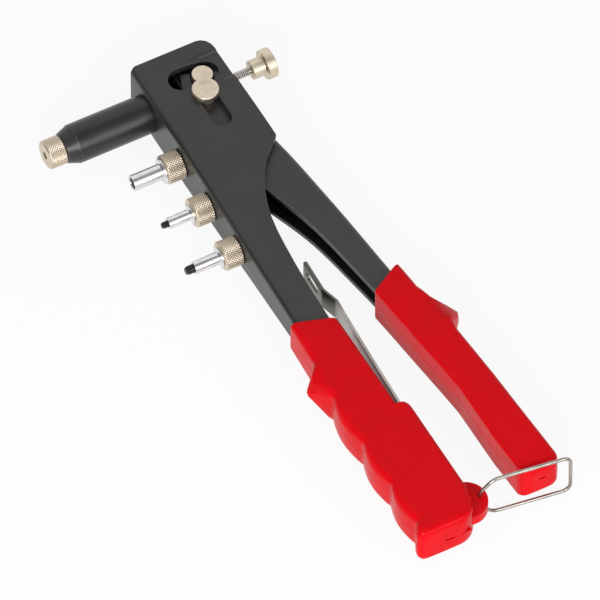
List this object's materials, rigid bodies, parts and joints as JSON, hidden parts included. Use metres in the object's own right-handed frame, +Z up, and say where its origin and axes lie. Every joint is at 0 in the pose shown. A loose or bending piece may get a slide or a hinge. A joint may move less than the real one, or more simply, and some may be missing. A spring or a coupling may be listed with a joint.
{
  "type": "hand rivet nut tool",
  "caption": "Hand-lever rivet nut setter with a pressed steel frame, barrel and screw-in nosepiece, spare nosepieces stored on the arm, dipped red grips and a wire handle latch.",
  "frame": {"origin": "centre of the part's box in plan, on the plane of the head's far wall that the tool lies on", "axes": "+X from the head to the grip ends, +Y from the nose to the thumb knob, +Z up through the thickness, away from the bench"},
  "size_m": [0.2738, 0.1172, 0.028],
  "materials": {
    "frame_paint": "satin black paint over pressed steel",
    "barrel_black": "semi-gloss black",
    "nickel": "pale warm nickel plate, turned",
    "steel": "bright drawn steel",
    "spring_steel": "dull spring steel with bright edges",
    "zinc": "bright zinc plate",
    "black_oxide": "black oxide",
    "red_pvc": "glossy moulded sleeve"
  },
  "bodies": {
    "frame": {"body_frame": "frame_paint", "barrel": "barrel_black", "barrel_nut": "barrel_black", "pivot_pin": "nickel", "pivot_clip": "steel", "pivot_bush_near": "nickel", "pivot_bush_far": "nickel", "front_grip": "red_pvc", "latch_ear": "red_pvc"},
    "nose": {"nosepiece_working": "nickel"},
    "drawbar": {"drawbar": "black_oxide", "drawbar_cap": "steel", "trunnion_near": "nickel", "trunnion_far": "nickel"},
    "spindle": {"spindle_rod": "steel", "thumb_knob": "nickel", "mandrel_working": "black_oxide"},
    "lever": {"lever": "frame_paint", "rear_grip": "red_pvc"},
    "latch": {"latch_bail": "spring_steel"},
    "spanner": {"spanner": "spring_steel"},
    "spare_upper": {"nosepiece_upper": "nickel", "mandrel_upper": "black_oxide", "rivet_nut_upper": "zinc"},
    "spare_middle": {"nosepiece_middle": "nickel", "mandrel_middle": "black_oxide", "rivet_nut_middle": "zinc"},
    "spare_lower": {"nosepiece_lower": "nickel", "mandrel_lower": "black_oxide", "rivet_nut_lower": "zinc"}
  },
  "joints": [
    {"name": "lever_swing", "type": "hinge", "parent": "frame", "child": "lever", "pos_m": [-0.1103, 0.0126, 0.0125], "axis": [0, 0, 1], "range_deg": [-3, 48]},
    {"name": "drawbar_slide", "type": "slide", "parent": "frame", "child": "drawbar", "axis": [0, 1, 0], "range_m": [-0.00922, 0.00058]},
    {"name": "spindle_spin", "type": "hinge", "parent": "drawbar", "child": "spindle", "pos_m": [-0.1206, 0.04, 0.0125], "axis": [0, 1, 0], "continuous": true},
    {"name": "latch_swing", "type": "hinge", "parent": "frame", "child": "latch", "pos_m": [0.1252, 0.0177, 0.0125], "axis": [0, 0, 1], "range_deg": [-90, 19]},
    {"name": "spanner_slide", "type": "slide", "parent": "frame", "child": "spanner", "axis": [-1, 0, 0], "range_m": [0, 0.03]},
    {"name": "nose_turn", "type": "hinge", "parent": "frame", "child": "nose", "pos_m": [-0.1206, -0.05, 0.0125], "axis": [0, 1, 0], "continuous": true},
    {"name": "spare_upper_turn", "type": "hinge", "parent": "frame", "child": "spare_upper", "pos_m": [-0.0902, -0.015, 0.0125], "axis": [0, 1, 0], "continuous": true},
    {"name": "spare_middle_turn", "type": "hinge", "parent": "frame", "child": "spare_middle", "pos_m": [-0.06415, -0.015, 0.0125], "axis": [0, 1, 0], "continuous": true},
    {"name": "spare_lower_turn", "type": "hinge", "parent": "frame", "child": "spare_lower", "pos_m": [-0.0381, -0.015, 0.0125], "axis": [0, 1, 0], "continuous": true}
  ],
  "couplings": [
    {"joint": "drawbar_slide", "follows": "lever_swing", "m_per_rad": -0.011}
  ]
}
